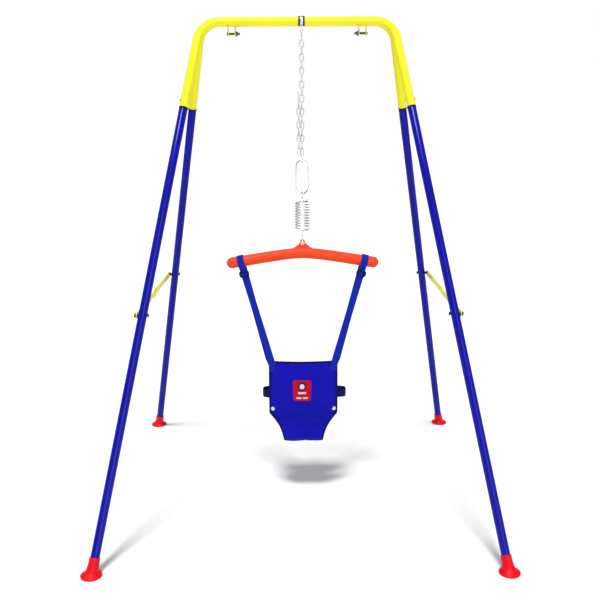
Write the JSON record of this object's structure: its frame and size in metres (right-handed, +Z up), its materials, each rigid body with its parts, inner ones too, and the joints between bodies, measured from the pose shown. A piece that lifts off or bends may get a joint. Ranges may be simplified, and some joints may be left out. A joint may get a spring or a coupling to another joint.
{
  "type": "baby jumper",
  "caption": "Folding tube-frame baby jumper with a spring on a chain, a bowed spreader bar and a fabric harness seat",
  "frame": {"origin": "middle of the four feet, on the floor", "axes": "+Z up, +X to the right seen from the front, the front of the jumper faces -Y"},
  "size_m": [1.052, 1.052, 1.328],
  "materials": {
    "yellow_tube": "gloss enamel",
    "blue_tube": "gloss enamel",
    "red_foot": "moulded, smooth",
    "black_ring": "moulded, smooth",
    "black_rubber": "matt",
    "zinc": "bright zinc plate",
    "chrome": "polished",
    "dark_steel": "dark plate",
    "orange_bar": "moulded, smooth",
    "strap_webbing": "woven nylon webbing",
    "seat_fabric": "woven, padded",
    "navy_webbing": "woven nylon webbing",
    "navy_plastic": "moulded, smooth",
    "patch_fabric": "woven patch",
    "snap_plastic": "moulded, smooth"
  },
  "bodies": {
    "front_frame": {"front_top_tube": "yellow_tube", "hanger_strap": "zinc", "stop_ring_left": "black_rubber", "stop_ring_right": "black_rubber", "fold_bolt_left": "dark_steel", "fold_bolt_right": "dark_steel", "fold_nut_left": "dark_steel", "fold_nut_right": "dark_steel", "front_left_leg": "blue_tube", "front_left_joint_ring": "black_ring", "front_left_screw": "zinc", "front_left_foot": "red_foot", "front_left_lug": "yellow_tube", "front_left_stay_bolt": "black_ring", "front_right_leg": "blue_tube", "front_right_joint_ring": "black_ring", "front_right_screw": "zinc", "front_right_foot": "red_foot", "front_right_lug": "yellow_tube", "front_right_stay_bolt": "black_ring"},
    "rear_frame": {"rear_top_tube": "yellow_tube", "rear_left_leg": "blue_tube", "rear_left_joint_ring": "black_ring", "rear_left_screw": "zinc", "rear_left_foot": "red_foot", "rear_left_lug": "yellow_tube", "rear_left_stay_bolt": "black_ring", "rear_right_leg": "blue_tube", "rear_right_joint_ring": "black_ring", "rear_right_screw": "zinc", "rear_right_foot": "red_foot", "rear_right_lug": "yellow_tube", "rear_right_stay_bolt": "black_ring"},
    "front_left_stay_arm": {"front_left_stay": "yellow_tube"},
    "front_right_stay_arm": {"front_right_stay": "yellow_tube"},
    "rear_left_stay_arm": {"rear_left_stay": "yellow_tube"},
    "rear_right_stay_arm": {"rear_right_stay": "yellow_tube"},
    "hang_link": {"top_link": "zinc"},
    "chain_line": {"chain": "zinc", "chain_tail": "zinc", "carabiner": "chrome"},
    "gate": {"carabiner_gate": "chrome"},
    "spring_top": {"spring_coil": "chrome", "spring_hook_upper": "chrome"},
    "spring_low": {"spring_hook_lower": "chrome"},
    "spreader": {"spreader_bar": "orange_bar", "spreader_eyelet": "zinc"},
    "seat": {"seat_front_panel": "seat_fabric", "seat_back_panel": "seat_fabric", "seat_patch": "patch_fabric", "snap_left": "snap_plastic", "snap_right": "snap_plastic", "waist_band_left": "navy_webbing", "waist_band_right": "navy_webbing", "shoulder_strap_left": "strap_webbing", "shoulder_strap_right": "strap_webbing"},
    "glide_left": {"strap_glide_left": "navy_plastic"},
    "glide_right": {"strap_glide_right": "navy_plastic"}
  },
  "joints": [
    {"name": "frame_fold", "type": "hinge", "parent": "front_frame", "child": "rear_frame", "pos_m": [0, 0, 1.285], "axis": [-1, 0, 0], "range_deg": [0, 38]},
    {"name": "front_left_stay_pivot", "type": "hinge", "parent": "front_frame", "child": "front_left_stay_arm", "pos_m": [-0.4045, -0.28239, 0.587], "axis": [1, 0, 0], "range_deg": [0, 64]},
    {"name": "rear_left_stay_pivot", "type": "hinge", "parent": "rear_frame", "child": "rear_left_stay_arm", "pos_m": [-0.407, 0.28239, 0.587], "axis": [-1, 0, 0], "range_deg": [0, 64]},
    {"name": "front_right_stay_pivot", "type": "hinge", "parent": "front_frame", "child": "front_right_stay_arm", "pos_m": [0.4045, -0.28239, 0.587], "axis": [1, 0, 0], "range_deg": [0, 64]},
    {"name": "rear_right_stay_pivot", "type": "hinge", "parent": "rear_frame", "child": "rear_right_stay_arm", "pos_m": [0.407, 0.28239, 0.587], "axis": [-1, 0, 0], "range_deg": [0, 64]},
    {"name": "harness_sway", "type": "hinge", "parent": "front_frame", "child": "hang_link", "pos_m": [0.0115, -0.0125, 1.2915], "axis": [0, 1, 0], "range_deg": [-8, 8]},
    {"name": "harness_swing", "type": "hinge", "parent": "hang_link", "child": "chain_line", "pos_m": [0.0115, -0.0125, 1.2679], "axis": [1, 0, 0], "range_deg": [-25, 25]},
    {"name": "gate_pivot", "type": "hinge", "parent": "chain_line", "child": "gate", "pos_m": [0.02862, -0.0125, 0.87876], "axis": [0, -1, 0], "range_deg": [0, 20], "stiffness_Nm_per_rad": 0.1, "springref_deg": -17.19},
    {"name": "harness_twist", "type": "hinge", "parent": "chain_line", "child": "spring_top", "pos_m": [0.0115, -0.0125, 0.8664], "axis": [0, 0, 1], "range_deg": [-30, 30]},
    {"name": "spring_bounce", "type": "slide", "parent": "spring_top", "child": "spring_low", "axis": [0, 0, -1], "range_m": [0, 0.09], "stiffness_N_per_m": 1000, "springref_m": -0.025, "deforming": ["spring_coil"]},
    {"name": "spreader_tilt", "type": "hinge", "parent": "spring_low", "child": "spreader", "pos_m": [0.0115, -0.0125, 0.7275], "axis": [0, 1, 0], "range_deg": [-15, 15]},
    {"name": "seat_swing", "type": "hinge", "parent": "spreader", "child": "seat", "pos_m": [0.0115, -0.0125, 0.67646], "axis": [1, 0, 0], "range_deg": [-25, 25]},
    {"name": "glide_left_slide", "type": "slide", "parent": "seat", "child": "glide_left", "axis": [0.2827, -0.0768, -0.9561], "range_m": [0, 0.06]},
    {"name": "glide_right_slide", "type": "slide", "parent": "seat", "child": "glide_right", "axis": [-0.2827, -0.0768, -0.9561], "range_m": [0, 0.06]}
  ],
  "couplings": [
    {"joint": "front_left_stay_pivot", "follows": "frame_fold", "ratio": 1.6554},
    {"joint": "front_right_stay_pivot", "follows": "frame_fold", "ratio": 1.6554},
    {"joint": "rear_left_stay_pivot", "follows": "frame_fold", "ratio": 1.6554},
    {"joint": "rear_right_stay_pivot", "follows": "frame_fold", "ratio": 1.6554}
  ]
}
